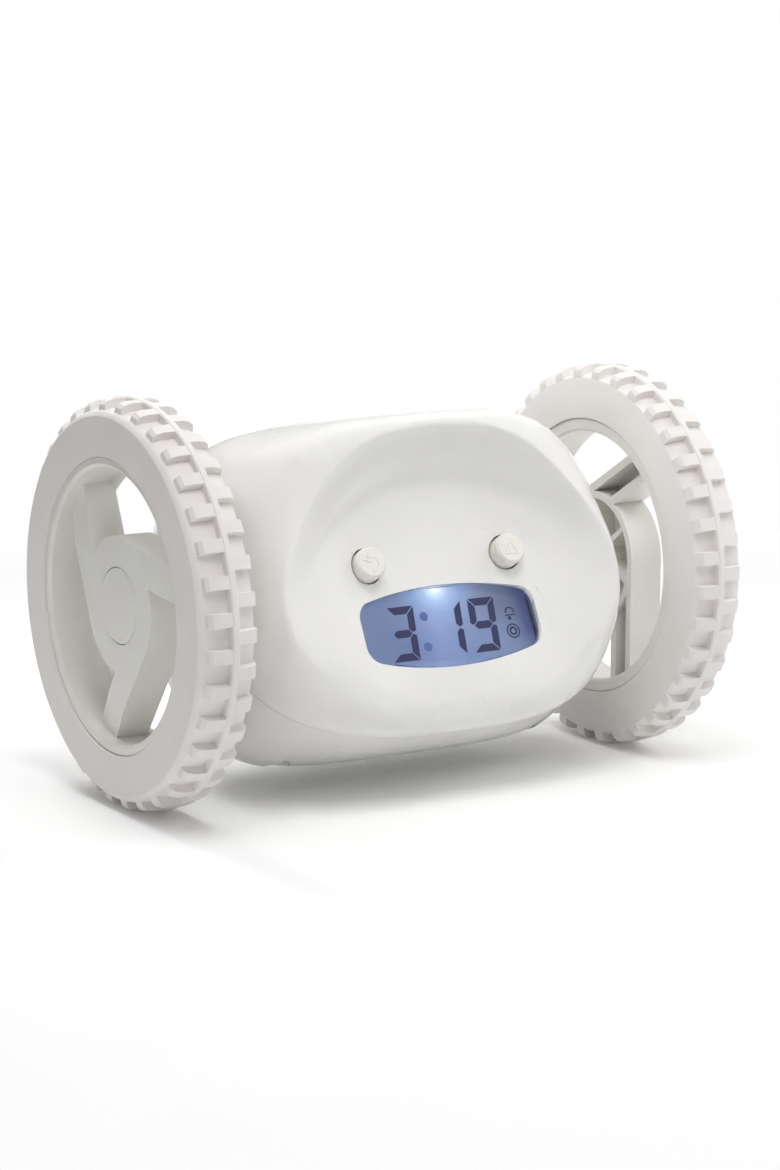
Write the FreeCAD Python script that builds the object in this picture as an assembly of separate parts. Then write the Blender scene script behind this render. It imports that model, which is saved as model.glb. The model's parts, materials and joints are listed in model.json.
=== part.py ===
import FreeCAD, Part
import math
import os

# Two-wheeled alarm clock. X runs along the axles, -Y is the face, Z = 0 is the floor. Millimetres.
V = FreeCAD.Vector
X_AXIS = V(1, 0, 0)
ORIGIN = V(0, 0, 0)

# ---- Overall sizes
TYRE_RADIUS = 43.5
AXLE_Z = TYRE_RADIUS
TYRE_OUTER_X = 67.0
TYRE_INNER_X = 54.4
HALF_BODY = 45.9          # half width of the housing
BARREL_RADIUS = 37.3
BARREL_Z = 41.5           # the barrel's own axis lies 2 mm under the axles
WALL = 2.0
FIT = 0.08                # radial clearance of a shaft in its bore
GAP = 0.3                 # clearance round a piece that moves or lifts out


# ---- Small helpers
def polar_yz(radius, degrees, y=0.0, z=0.0, x=0.0):
    """Point at an angle from +Y toward +Z."""
    a = math.radians(degrees)
    return V(x, y + radius * math.cos(a), z + radius * math.sin(a))


def rod(x0, x1, radius, y=0.0, z=AXLE_Z):
    return Part.makeCylinder(radius, x1 - x0, V(x0, y, z), X_AXIS)


def tube(x0, x1, outer, inner, y=0.0, z=AXLE_Z):
    return rod(x0, x1, outer, y, z).cut(rod(x0 - 1, x1 + 1, inner, y, z))


def block(x0, x1, y0, y1, z0, z1):
    return Part.makeBox(x1 - x0, y1 - y0, z1 - z0, V(x0, y0, z0))


def spin(outline, y=0.0, z=AXLE_Z):
    """Solid of revolution about a line along X; the outline's points are (x, radius)."""
    corners = [V(x, y + radius, z) for x, radius in outline]
    return Part.Face(Part.makePolygon(corners + corners[:1])).revolve(V(0, y, z), X_AXIS, 360)


def about_axle(shape, degrees):
    """Copy of a shape turned about the axle line, from the face side (-Y) toward the top."""
    turned = shape.copy()
    turned.rotate(V(0, 0, AXLE_Z), X_AXIS, -degrees)
    return turned


def mirrored(shape):
    return shape.mirror(ORIGIN, X_AXIS)


def fused(shapes):
    return shapes[0].multiFuse(shapes[1:]).removeSplitter()


def save(name, shape):
    shape.exportStep("parts/%s.step" % name)


def save_both(name, shape):
    """A piece modelled on the right (+X) and its mirror image on the left."""
    save("right_" + name, shape)
    save("left_" + name, mirrored(shape))


# ---- Housing: a barrel with a hood over the face and a chin under it
FRONT_PROFILE = [
    (0, 78.9), (-8.5, 80.5), (-16.5, 82.0), (-21.3, 80.4), (-24.8, 72.5), (-26.0, 64.0), (-26.2, 56.0),
    (-27.2, 48.0), (-29.4, 37.5), (-33.9, 27.5), (-36.0, 21.9), (-34.7, 17.8), (-30.0, 14.3), (-20.5, 8.9),
    (-10.5, 5.5),
]
BACK_ARC_ANGLES = range(-90, 90, 26)     # from the belly round the back to the crown
END_ROUNDNESS = [                        # (angle from the crown toward the face, exponent)
    (0, 5.9), (45, 5.0), (90, 9.0), (140, 2.95), (180, 5.9), (270, 6.5), (360, 5.9),
]
BULGE_REACH = 34.0                       # hood and chin fade out toward the ends over this width
STATION_ANGLES = (0, 12, 24, 34, 43, 51, 58, 65, 72, 79, 84)


def roundness(angle):
    """Exponent of the superellipse that rounds the housing's ends, eased between the listed angles."""
    for (a, p), (b, q) in zip(END_ROUNDNESS, END_ROUNDNESS[1:]):
        if a <= angle <= b:
            return p + (q - p) * (1 - math.cos(math.pi * (angle - a) / (b - a))) / 2


def housing_section(x):
    back = [polar_yz(BARREL_RADIUS, a, 0, BARREL_Z) for a in BACK_ARC_ANGLES]
    points = []
    for p in [V(0, y, z) for y, z in FRONT_PROFILE] + back:
        radius = math.hypot(p.y, p.z - BARREL_Z)
        angle = math.degrees(math.atan2(-p.y, p.z - BARREL_Z)) % 360
        bulge = (radius - BARREL_RADIUS) * math.exp(-((abs(x) / BULGE_REACH) ** 4))
        scale = (1 - (abs(x) / HALF_BODY) ** roundness(angle)) ** 0.25
        reach = (BARREL_RADIUS + bulge) * scale
        points.append(V(x, p.y * reach / radius, BARREL_Z + (p.z - BARREL_Z) * reach / radius))
    curve = Part.BSplineCurve()
    curve.interpolate(points, PeriodicFlag=True)
    return Part.Wire(curve.toShape())


def housing_form():
    half = [HALF_BODY * math.sin(math.radians(a)) for a in STATION_ANGLES]
    stations = [-x for x in reversed(half[1:])] + half
    return Part.makeLoft([housing_section(x) for x in stations], True, False, False, 5)


# ---- The face: a plane leaning back, at the bottom of a dish with drafted walls
FACE_LEAN = 28.4
FACE_ORIGIN = V(0, -27.28, 38.0)
FACE_TURN = FreeCAD.Rotation(X_AXIS, 90 - FACE_LEAN)
DISH_CENTRE = -7.7        # along the face, up from its origin
DISH_FLAT = 12.0          # radius of the flat middle
DISH_BOWL = 90.0          # section radius of the shallow bowl round it
DISH_BOWL_REACH = 36.0
DISH_COVE = 15.6          # section radius of the cove that turns up into the wall
DISH_DRAFT = 20.0
DISH_DEPTH = 40.0
RIM_ROUNDING = 2.0


def on_face(shape):
    """Place a shape drawn with X right, Y up the face and Z out of it."""
    placed = shape.copy()
    placed.Placement = FreeCAD.Placement(FACE_ORIGIN, FACE_TURN).multiply(shape.Placement)
    return placed


def dish(grown=0.0):
    """The space in front of the face, spun about the face's own normal."""
    draft = math.radians(DISH_DRAFT)
    bowl_end = math.asin((DISH_BOWL_REACH - DISH_FLAT) / DISH_BOWL)
    cove_end = math.pi / 2 - draft

    def at(radius, out):
        return V(radius, DISH_CENTRE, out)

    def on_bowl(angle, section=DISH_BOWL + grown):
        return at(DISH_FLAT + section * math.sin(angle), DISH_BOWL - section * math.cos(angle))

    cove_centre = on_bowl(bowl_end, DISH_BOWL - DISH_COVE)

    def on_cove(angle):
        section = DISH_COVE + grown
        return cove_centre + V(section * math.sin(angle), 0, -section * math.cos(angle))

    top = on_cove(cove_end)
    mouth = at(top.x + (DISH_DEPTH - top.z) * math.tan(draft), DISH_DEPTH)
    edges = [
        Part.LineSegment(at(0, -grown), on_bowl(0)).toShape(),
        Part.Arc(on_bowl(0), on_bowl(bowl_end / 2), on_bowl(bowl_end)).toShape(),
        Part.Arc(on_bowl(bowl_end), on_cove((bowl_end + cove_end) / 2), top).toShape(),
        Part.LineSegment(top, mouth).toShape(),
        Part.LineSegment(mouth, at(0, DISH_DEPTH)).toShape(),
        Part.LineSegment(at(0, DISH_DEPTH), at(0, -grown)).toShape(),
    ]
    return on_face(Part.Face(Part.Wire(edges)).revolve(at(0, 0), V(0, 0, 1), 360))


def face_disc(x, up, out0, out1, radius):
    return on_face(Part.makeCylinder(radius, out1 - out0, V(x, up, out0)))


def face_block(half_width, up0, up1, out0, out1):
    return on_face(Part.makeBox(2 * half_width, up1 - up0, out1 - out0, V(-half_width, up0, out0)))


WINDOW_HALF_WIDTH = 21.8
WINDOW_TOP = (8.5, 5.4)          # height up the face at the middle and at the corners
WINDOW_BOTTOM = (-9.7, -6.5)
WINDOW_CORNER = 4.0


def window_prism(out0, out1, grown=0.0):
    """The window's outline between two heights: bowed top and bottom, round corners."""
    left, right = -WINDOW_HALF_WIDTH - grown, WINDOW_HALF_WIDTH + grown
    top, top_side = WINDOW_TOP[0] + grown, WINDOW_TOP[1] + grown
    low, low_side = WINDOW_BOTTOM[0] - grown, WINDOW_BOTTOM[1] - grown
    edges = [
        Part.Arc(V(left, top_side, out0), V(0, top, out0), V(right, top_side, out0)).toShape(),
        Part.LineSegment(V(right, top_side, out0), V(right, low_side, out0)).toShape(),
        Part.Arc(V(right, low_side, out0), V(0, low, out0), V(left, low_side, out0)).toShape(),
        Part.LineSegment(V(left, low_side, out0), V(left, top_side, out0)).toShape(),
    ]
    prism = Part.Face(Part.Wire(edges)).extrude(V(0, 0, out1 - out0))
    uprights = [e for e in prism.Edges if e.BoundBox.ZLength > 0 and e.BoundBox.XLength < 1e-6]
    return on_face(prism.makeFillet(WINDOW_CORNER + grown, uprights))


BUTTON_X = 17.4
BUTTON_UP = 13.8
BUTTON_RADIUS = 3.5
BUTTON_TOP = 4.2          # above the flat middle of the face
SIDE_PAIR = (-1, 1)

# ---- Parting plane of the two shells: through the axle line, down to the chin
PARTING_ANGLE = 42.0
PARTING_TURN = FreeCAD.Rotation(X_AXIS, PARTING_ANGLE)
PARTING_UP = PARTING_TURN.multVec(V(0, 0, 1))
PARTING_ALONG = PARTING_TURN.multVec(V(0, 1, 0))
SEAM_WIDTH = 0.15
SEAM_DEPTH = 0.3


def parting_point(x, along, up=0.0):
    return V(x, 0, AXLE_Z) + PARTING_ALONG * along + PARTING_UP * up


def parting_rod(x, along, up0, up1, radius):
    return Part.makeCylinder(radius, up1 - up0, parting_point(x, along, up0), PARTING_UP)


def parting_slab(up0, up1, half=80.0):
    slab = Part.makeBox(2 * half, 2 * half, up1 - up0, V(-half, -half, up0))
    slab.Placement = FreeCAD.Placement(V(0, 0, AXLE_Z), PARTING_TURN)
    return slab


# ---- Base panel: the middle of the belly, sunk a little
BELLY_HALF_WIDTH = 32.5
BELLY_FRONT_Y = -32.0
BELLY_BACK_Y = 29.5
BELLY_CORNER = 14.0
BELLY_SINK = 0.5

# ---- Inside of the housing
CAVITY = [(0, 35.1), (25.9, 35.0), (32.8, 33.6), (38.6, 29.8), (42.3, 24.0), (43.6, 17.3), (43.6, 0)]
CAVITY_BY_CHIN = [(0, 34.9), (25, 34.7), (31, 33.3), (36, 30.3), (40, 25.5), (42.6, 18.0), (42.6, 0)]
CHIN_Y = -9.0             # the ends are rounder in front of this
COLLAR = [(43.0, 0), (43.0, 9.0), (45.0, 7.6), (53.2, 5.6), (53.2, 0)]    # boss round each axle
AXLE_RADIUS = 2.0
AXLE_X = (27.3, 59.0)          # starts clear of the motor, ends inside the wheel

LOWER_BOSS = (31.0, -30.0)     # screw bosses as (x, distance along the parting plane)
UPPER_BOSS = (23.5, 27.5)
BOSS_RADIUS = 3.2
SCREW_RADIUS = 1.25
SCREW_HEAD_RADIUS = 2.3
SCREW_SEAT = -5.0              # under the parting plane
SCREW_REACH = 7.0              # into the front shell
SCREW_HEAD = 1.8


def boss_places():
    return [(side * x, along) for x, along in (LOWER_BOSS, UPPER_BOSS) for side in SIDE_PAIR]


def both_ends(outline):
    return outline + [(-x, r) for x, r in reversed(outline[1:])]


def cavity(grown=0.0):
    """Space inside the shells, as large as the walls allow; grown reaches into the walls."""
    def barrel(outline):
        return spin([(x, r + grown if r else 0) for x, r in both_ends(outline)], 0, BARREL_Z)

    roomy = barrel(CAVITY).common(block(-60, 60, CHIN_Y, 60, 0, 90))
    return roomy.fuse(barrel(CAVITY_BY_CHIN)).cut(dish(WALL - grown))


# ---- Battery bay: four AAA cells side by side along X in the belly
CELL_RADIUS = 5.25
CELL_HALF_LENGTH = 22.25
CELL_NUB_RADIUS = 1.9
CELL_NUB = 0.9
CELL_ORBIT = 29.2              # the cells lie on an arc about the barrel's axis
CELL_ANGLES = (-31.65, -10.55, 10.55, 31.65)      # from straight down toward the back
BAY_HALF_WIDTH = 24.6
BAY_HALF_DEPTH = 21.3
TRAY_INNER = 22.3
TRAY_OUTER = 23.8
TRAY_END = 1.5
TAB_HALF_WIDTH = 5.0
TAB_BACK = 28.0
COVER_SCREW_Y = 24.8
COVER_SEAT_Z = 17.0
COVER_PAD_Z = 18.3
COVER_SCREW_TOP = 23.5


def cell_place(angle):
    a = math.radians(angle)
    return CELL_ORBIT * math.sin(a), BARREL_Z - CELL_ORBIT * math.cos(a)


def bay_opening(inset=0.0):
    """Plan of the battery cover, as a prism through the belly."""
    width, depth = BAY_HALF_WIDTH - inset, BAY_HALF_DEPTH - inset
    plan = block(-width, width, -depth, depth, 0, 20)
    tab = block(-TAB_HALF_WIDTH + inset, TAB_HALF_WIDTH - inset, 0, TAB_BACK - inset, 0, 20)
    return plan.fuse(tab).removeSplitter()


def tray():
    """Roof and end walls over the cells, carried by the rear shell."""
    reach = BAY_HALF_WIDTH + TRAY_END
    roof = tube(-reach, reach, TRAY_OUTER, TRAY_INNER, 0, BARREL_Z)
    pieces = [roof.common(block(-reach, reach, -17.2, 17.2, 10, BARREL_Z - 10))]
    for side in SIDE_PAIR:
        x0, x1 = sorted((side * BAY_HALF_WIDTH, side * reach))
        wall = tube(x0, x1, BARREL_RADIUS - 1.4, TRAY_INNER, 0, BARREL_Z)
        pieces.append(wall.common(block(x0, x1, -22.8, 22.8, 0, 25)))
    return pieces


def cover_screw_boss():
    column = Part.makeCylinder(3.0, 6.5, V(0, COVER_SCREW_Y, COVER_PAD_Z + 0.2))
    rib = block(-0.8, 0.8, COVER_SCREW_Y, 33, 21, 27)
    return [column.common(cavity(-0.25)), rib.common(cavity(1.0))]


def battery_cover(walls):
    opening = bay_opening(0.15)
    pad = Part.makeCylinder(3.1, 4.3, V(0, COVER_SCREW_Y, COVER_PAD_Z - 4.3)).common(cavity(1.0))
    cover = walls.common(opening).fuse(pad)
    hole = Part.makeCylinder(SCREW_RADIUS + 0.15, 20, V(0, COVER_SCREW_Y, 5))
    seat = Part.makeCylinder(SCREW_HEAD_RADIUS + 0.2, COVER_SEAT_Z, V(0, COVER_SCREW_Y, 0))
    return cover.cut(hole.fuse(seat))


def battery_cover_screw():
    shank = Part.makeCylinder(SCREW_RADIUS, COVER_SCREW_TOP - COVER_SEAT_Z, V(0, COVER_SCREW_Y, COVER_SEAT_Z))
    head = Part.makeCylinder(SCREW_HEAD_RADIUS, 1.5, V(0, COVER_SCREW_Y, COVER_SEAT_Z - 1.5))
    return fused([shank, head])


def battery_cell(index):
    y, z = cell_place(CELL_ANGLES[index])
    shoulder = CELL_HALF_LENGTH - CELL_NUB
    can = rod(-CELL_HALF_LENGTH, shoulder, CELL_RADIUS, y, z)
    cell = fused([can, rod(shoulder, CELL_HALF_LENGTH, CELL_NUB_RADIUS, y, z)])
    return mirrored(cell) if index % 2 else cell


CONTACT_SECTION = [            # (x, radius), a dimpled disc between a cell's end and the bay's wall
    (CELL_HALF_LENGTH, 0), (CELL_HALF_LENGTH, 1.6), (24.1, 3.0), (24.1, 4.2),
    (BAY_HALF_WIDTH, 4.2), (BAY_HALF_WIDTH, 0),
]


def battery_contacts():
    pieces = []
    for angle in CELL_ANGLES:
        y, z = cell_place(angle)
        contact = spin(CONTACT_SECTION, y, z)
        pieces += [contact, mirrored(contact)]
    return Part.makeCompound(pieces)


# ---- Gear trains: motor pinion, two compound gears, axle gear
MODULE_FAST = 0.5
MODULE_SLOW = 0.6
PINION_TEETH = 8
WHEEL_TEETH = 32
SLOW_PINION_TEETH = 10
AXLE_GEAR_TEETH = 36
PRESSURE_ANGLE = math.radians(20)
TOOTH_THINNING = 0.05          # backlash taken off each tooth
SHIFT_FAST = 0.5               # profile shift, plus on the pinion and minus on its wheel
SHIFT_SLOW = 0.42


def stepped(start, distance, degrees):
    p = polar_yz(distance, degrees, *start)
    return p.y, p.z


DIRECTION_AB = 53.5
DIRECTION_BC = -24.5
DIRECTION_CD = -135.0
SLOW_DISTANCE = MODULE_SLOW * (SLOW_PINION_TEETH + AXLE_GEAR_TEETH) / 2
FAST_DISTANCE = MODULE_FAST * (PINION_TEETH + WHEEL_TEETH) / 2
GEAR_A = (0.0, AXLE_Z)                         # axle gear
GEAR_B = stepped(GEAR_A, SLOW_DISTANCE, DIRECTION_AB)
GEAR_C = stepped(GEAR_B, FAST_DISTANCE, DIRECTION_BC)
GEAR_D = stepped(GEAR_C, FAST_DISTANCE, DIRECTION_CD)

PLATE_X = (27.0, 28.5)         # inner plate of each gearbox
COVER_X = (41.2, 42.2)         # outer plate
LAYER_1 = (29.5, 32.3)
LAYER_2 = (33.0, 36.0)
LAYER_3 = (36.8, 40.4)
PIN_RADIUS = 0.75


def meshed(phase_from, teeth_from, teeth, direction):
    """Angle of a tooth of the next gear, so that it stands in a gap of its neighbour."""
    turned = ((direction - phase_from) / (360.0 / teeth_from)) % 1.0
    return direction + 180 - 360.0 / teeth * (0.5 - turned)


def spur_gear(centre, x0, x1, teeth, module, shift, phase):
    """Involute gear: each flank is an arc through three points of the involute."""
    pitch_radius = module * teeth / 2
    base = pitch_radius * math.cos(PRESSURE_ANGLE)
    tip = pitch_radius + module * (0.85 + shift)
    root = pitch_radius - module * (1.2 - shift)
    foot = max(base, root) + 0.01
    middle = (foot + tip) / 2
    involute = math.tan(PRESSURE_ANGLE) - PRESSURE_ANGLE
    thickness = module * (math.pi / 2 + 2 * shift * math.tan(PRESSURE_ANGLE)) - TOOTH_THINNING

    def half_angle(radius):
        alpha = math.acos(base / radius)
        return math.degrees(thickness / (2 * pitch_radius) + involute - (math.tan(alpha) - alpha))

    def at(radius, degrees):
        return polar_yz(radius, degrees, centre[0], centre[1], x0)

    low, mid, high = half_angle(foot), half_angle(middle), half_angle(tip)
    edges = []
    pitch = 360.0 / teeth
    for k in range(teeth):
        a = phase + k * pitch
        up = (at(root, a - low), at(foot, a - low), at(middle, a - mid), at(tip, a - high))
        down = (at(tip, a + high), at(middle, a + mid), at(foot, a + low), at(root, a + low))
        edges += [
            Part.LineSegment(up[0], up[1]).toShape(),
            Part.Arc(up[1], up[2], up[3]).toShape(),
            Part.LineSegment(up[3], down[0]).toShape(),
            Part.Arc(down[0], down[1], down[2]).toShape(),
            Part.LineSegment(down[2], down[3]).toShape(),
            Part.LineSegment(down[3], at(root, a + pitch - low)).toShape(),
        ]
    return Part.Face(Part.Wire(edges)).extrude(V(x1 - x0, 0, 0))


AXLE_PHASE = 90.0
SLOW_PINION_PHASE = meshed(AXLE_PHASE, AXLE_GEAR_TEETH, SLOW_PINION_TEETH, DIRECTION_AB)
FAST_PINION_PHASE = meshed(0.0, WHEEL_TEETH, PINION_TEETH, DIRECTION_BC)
MOTOR_PINION_PHASE = meshed(0.0, WHEEL_TEETH, PINION_TEETH, DIRECTION_CD)


def axle_gear():
    gear = spur_gear(GEAR_A, *LAYER_3, AXLE_GEAR_TEETH, MODULE_SLOW, -SHIFT_SLOW, AXLE_PHASE)
    return gear.cut(rod(30, 50, AXLE_RADIUS))


def slow_gear():
    """Compound gear that drives the axle gear."""
    wheel = spur_gear(GEAR_B, *LAYER_2, WHEEL_TEETH, MODULE_FAST, -SHIFT_FAST, 0.0)
    pinion_x = (LAYER_2[1], LAYER_3[1])
    pinion = spur_gear(GEAR_B, *pinion_x, SLOW_PINION_TEETH, MODULE_SLOW, SHIFT_SLOW, SLOW_PINION_PHASE)
    return fused([wheel, pinion]).cut(rod(30, 50, PIN_RADIUS + FIT, *GEAR_B))


def fast_gear():
    """Compound gear that the motor drives."""
    wheel = spur_gear(GEAR_C, *LAYER_1, WHEEL_TEETH, MODULE_FAST, -SHIFT_FAST, 0.0)
    pinion_x = (LAYER_1[1], LAYER_2[1])
    pinion = spur_gear(GEAR_C, *pinion_x, PINION_TEETH, MODULE_FAST, SHIFT_FAST, FAST_PINION_PHASE)
    return fused([wheel, pinion]).cut(rod(25, 50, PIN_RADIUS + FIT, *GEAR_C))


# ---- Motors: flat-sided cans lying along X
MOTOR_X = (2.0, 27.0)
MOTOR_RADIUS = 10.0
MOTOR_HALF_FLAT = 7.5
MOTOR_SHAFT_RADIUS = 1.0
MOTOR_MOUTH_RADIUS = 1.5
MOTOR_MOUTH = 1.2


def motor():
    y, z = GEAR_D
    can = rod(*MOTOR_X, MOTOR_RADIUS, y, z)
    flats = block(0, 30, y - MOTOR_RADIUS, y + MOTOR_RADIUS, z - MOTOR_HALF_FLAT, z + MOTOR_HALF_FLAT)
    bearing = rod(MOTOR_X[0] - 1.4, MOTOR_X[0] + 0.1, 3.0, y, z)
    mouth = rod(MOTOR_X[1] - MOTOR_MOUTH, 30, MOTOR_MOUTH_RADIUS, y, z)
    return fused([can.common(flats), bearing]).cut(mouth)


def motor_pinion():
    gear = spur_gear(GEAR_D, *LAYER_1, PINION_TEETH, MODULE_FAST, SHIFT_FAST, MOTOR_PINION_PHASE)
    shaft = rod(MOTOR_X[1] - MOTOR_MOUTH + 0.4, LAYER_1[0], MOTOR_SHAFT_RADIUS, *GEAR_D)
    return fused([gear, shaft])


# ---- Gearboxes
PEDESTAL_Z = 29.0
PEDESTAL_Y = (-3.0, 13.0)
FRAME_BACK_Y = 24.7
COVER_BACK_Y = 16.5
SPACERS = ((-4.7, 31.0), (13.8, 31.0))
SPACER_RADIUS = 1.6


def gearbox_plate(x0, x1, back_y, lobes):
    """Plate with a round lobe at each shaft and a straight foot."""
    rounds = [rod(x0, x1, radius, *centre) for centre, radius in lobes]
    corners = [V(x0, *centre) for centre, radius in lobes]
    web = Part.Face(Part.makePolygon(corners + corners[:1])).extrude(V(x1 - x0, 0, 0))
    foot = block(x0, x1, -6.5, back_y, PEDESTAL_Z, AXLE_Z - 2)
    plate = fused(rounds + [web, foot])
    for centre in (GEAR_B, GEAR_C):
        plate = plate.cut(rod(x0 - 1, x1 + 1, PIN_RADIUS, *centre))
    return plate.cut(rod(x0 - 1, x1 + 1, AXLE_RADIUS + FIT))


def gearbox_frame():
    lobes = ((GEAR_A, 6.5), (GEAR_B, 5.0), (GEAR_C, 5.0), (GEAR_D, 6.5))
    plate = gearbox_plate(*PLATE_X, FRAME_BACK_Y, lobes).cut(rod(20, 30, MOTOR_MOUTH_RADIUS, *GEAR_D))
    posts = [rod(PLATE_X[1] - 0.1, COVER_X[0], SPACER_RADIUS, *place) for place in SPACERS]
    return fused([plate] + posts)


def gearbox_cover():
    return gearbox_plate(*COVER_X, COVER_BACK_Y, ((GEAR_A, 6.5), (GEAR_B, 4.0), (GEAR_C, 2.6)))


def gear_pins():
    pins = [rod(PLATE_X[0], COVER_X[1], PIN_RADIUS, *centre) for centre in (GEAR_B, GEAR_C)]
    return Part.makeCompound(pins)


def pedestals():
    """Walls in the rear shell that the gearboxes stand on."""
    room = cavity(1.0)
    walls = []
    for side in SIDE_PAIR:
        x0, x1 = sorted((side * PLATE_X[0], side * COVER_X[1]))
        for y in PEDESTAL_Y:
            walls.append(block(x0, x1, y - 0.8, y + 0.8, 3, PEDESTAL_Z).common(room))
    return walls


# ---- Display behind the window
LENS_OUT = (-3.2, -2.0, -1.2)
PANEL_OUT = -5.0
BACKLIGHT_OUT = -8.2
BOARD_OUT = -9.8
BUZZER_OUT = -16.8
POST_PLACES = ((-24.9, -9.5), (24.9, -9.5), (-24.9, 17.0), (24.9, 17.0))
BUTTON_FLANGE = (-2.7, -1.6)
BUTTON_STEM_END = -6.5
SWITCH_OUT = -7.4
SWITCH = 6.0                   # side of each square switch
BUTTON_FLANGE_RADIUS = 4.6
BUTTON_STEM_RADIUS = 1.6


def display_lens():
    """Clear pane glued behind the window, with a raised middle that fills it."""
    return fused([window_prism(LENS_OUT[0], LENS_OUT[1], 1.2), window_prism(LENS_OUT[1], LENS_OUT[2], -0.15)])


def display_board():
    pieces = [face_block(26.5, -11.5, 18.8, BOARD_OUT, BACKLIGHT_OUT)]
    for side in SIDE_PAIR:
        corner = V(side * BUTTON_X - SWITCH / 2, BUTTON_UP - SWITCH / 2, BACKLIGHT_OUT)
        pieces.append(on_face(Part.makeBox(SWITCH, SWITCH, SWITCH_OUT - BACKLIGHT_OUT, corner)))
    return fused(pieces)


def face_button(side):
    def disc(radius, out0, out1):
        return Part.makeCylinder(radius, out1 - out0, V(side * BUTTON_X, BUTTON_UP, out0))

    cap = disc(BUTTON_RADIUS, BUTTON_FLANGE[1], BUTTON_TOP)
    cap = cap.makeChamfer(0.5, [e for e in cap.Edges if e.CenterOfMass.z > BUTTON_TOP - 0.01])
    flange = disc(BUTTON_FLANGE_RADIUS, *BUTTON_FLANGE)
    stem = disc(BUTTON_STEM_RADIUS, BUTTON_STEM_END, BUTTON_FLANGE[0])
    return on_face(fused([cap, flange, stem]))


# ---- Setting keys on the back and the board behind them
KEY_X = (-15.0, -5.0, 5.0, 15.0)
KEY_RADIUS = 3.2
KEY_PROUD_Y = 38.2
KEY_FLANGE_Y = (33.2, 34.2)
KEY_TRAVEL = 0.6
BOARD_Y = (29.6, 31.2)
SWITCH_Y = 32.2
STANDOFF_X = (-24.0, -8.0, 8.0, 24.0)
STANDOFF_Z = 33.5
SOUND_HOLE_RADIUS = 0.9
SOUND_RING = 4.0
SOUND_Z = 57.0


def back_rod(x, z, y0, y1, radius):
    return Part.makeCylinder(radius, y1 - y0, V(x, y0, z), V(0, 1, 0))


def setting_key(x):
    cap = back_rod(x, BARREL_Z, KEY_FLANGE_Y[1], KEY_PROUD_Y, KEY_RADIUS)
    cap = cap.makeChamfer(0.4, [e for e in cap.Edges if e.CenterOfMass.y > KEY_PROUD_Y - 0.01])
    flange = back_rod(x, BARREL_Z, *KEY_FLANGE_Y, KEY_RADIUS + 1)
    stem = back_rod(x, BARREL_Z, SWITCH_Y + KEY_TRAVEL + 0.1, KEY_FLANGE_Y[0], 1.2)
    return fused([cap, flange, stem])


def main_board():
    board = block(-28, 28, *BOARD_Y, 31, 45)
    half = SWITCH / 2
    low, high = BARREL_Z - half, BARREL_Z + half
    switches = [block(x - half, x + half, BOARD_Y[1], SWITCH_Y, low, high) for x in KEY_X]
    return fused([board] + switches)


def sound_holes():
    """One hole with six round it, through the upper back."""
    holes = [back_rod(0, SOUND_Z, 24, 44, SOUND_HOLE_RADIUS)]
    for k in range(6):
        place = polar_yz(SOUND_RING, 60 * k)
        holes.append(back_rod(place.y, SOUND_Z + place.z, 24, 44, SOUND_HOLE_RADIUS))
    return holes


# ---- Shells
def rim_edges(shape):
    """Edges between the housing's outer skin and the dish."""
    skin = max(shape.Faces, key=lambda face: face.Area)
    found = []
    for edge in skin.Edges:
        neighbours = [f for f in shape.Faces if any(edge.isSame(other) for other in f.Edges)]
        if len(neighbours) > 1 and abs(edge.CenterOfMass.x) < HALF_BODY - 2:
            found.append(edge)
    return found


def belly_recess(form):
    """Skin to take off the belly inside a rounded outline, so that the base panel lies a little sunk."""
    x, front, back = BELLY_HALF_WIDTH, BELLY_FRONT_Y, BELLY_BACK_Y
    prism = Part.makeBox(2 * x, back - front, 30, V(-x, front, 0))
    uprights = [e for e in prism.Edges if e.BoundBox.ZLength > 1]
    skin = prism.makeFillet(BELLY_CORNER, uprights).common(form)
    raised = form.copy()
    raised.translate(V(0, 0, BELLY_SINK))
    return skin.cut(raised)


def housing_walls():
    form = housing_form()
    dished = form.cut(dish())
    dished = dished.makeFillet(RIM_ROUNDING, rim_edges(dished))
    return dished.cut(belly_recess(form)).cut(cavity())


def seam():
    """Groove that marks where the shells meet."""
    core = housing_form()
    core.scale(1 - SEAM_DEPTH / BARREL_RADIUS, V(0, 0, BARREL_Z))
    return parting_slab(-SEAM_WIDTH, 0).cut(core)


def axle_bore():
    return rod(-60, 60, AXLE_RADIUS + FIT)


def front_shell(walls):
    room = cavity(1.0)
    bosses = [parting_rod(x, along, 0, 22, BOSS_RADIUS).common(room) for x, along in boss_places()]
    posts = [face_disc(x, up, BACKLIGHT_OUT, 6, 1.5).common(room) for x, up in POST_PLACES]
    frame = window_prism(-WALL, -WALL / 4, 1.8)
    shell = walls.common(parting_slab(0, 80)).multiFuse(bosses + posts + [frame])
    cuts = [window_prism(-4, 4), axle_bore()]
    cuts += [face_disc(side * BUTTON_X, BUTTON_UP, -4, 6, BUTTON_RADIUS + 0.35) for side in SIDE_PAIR]
    cuts += [parting_rod(x, along, -1, SCREW_REACH + 1, SCREW_RADIUS) for x, along in boss_places()]
    return shell.cut(Part.makeCompound(cuts))


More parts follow.
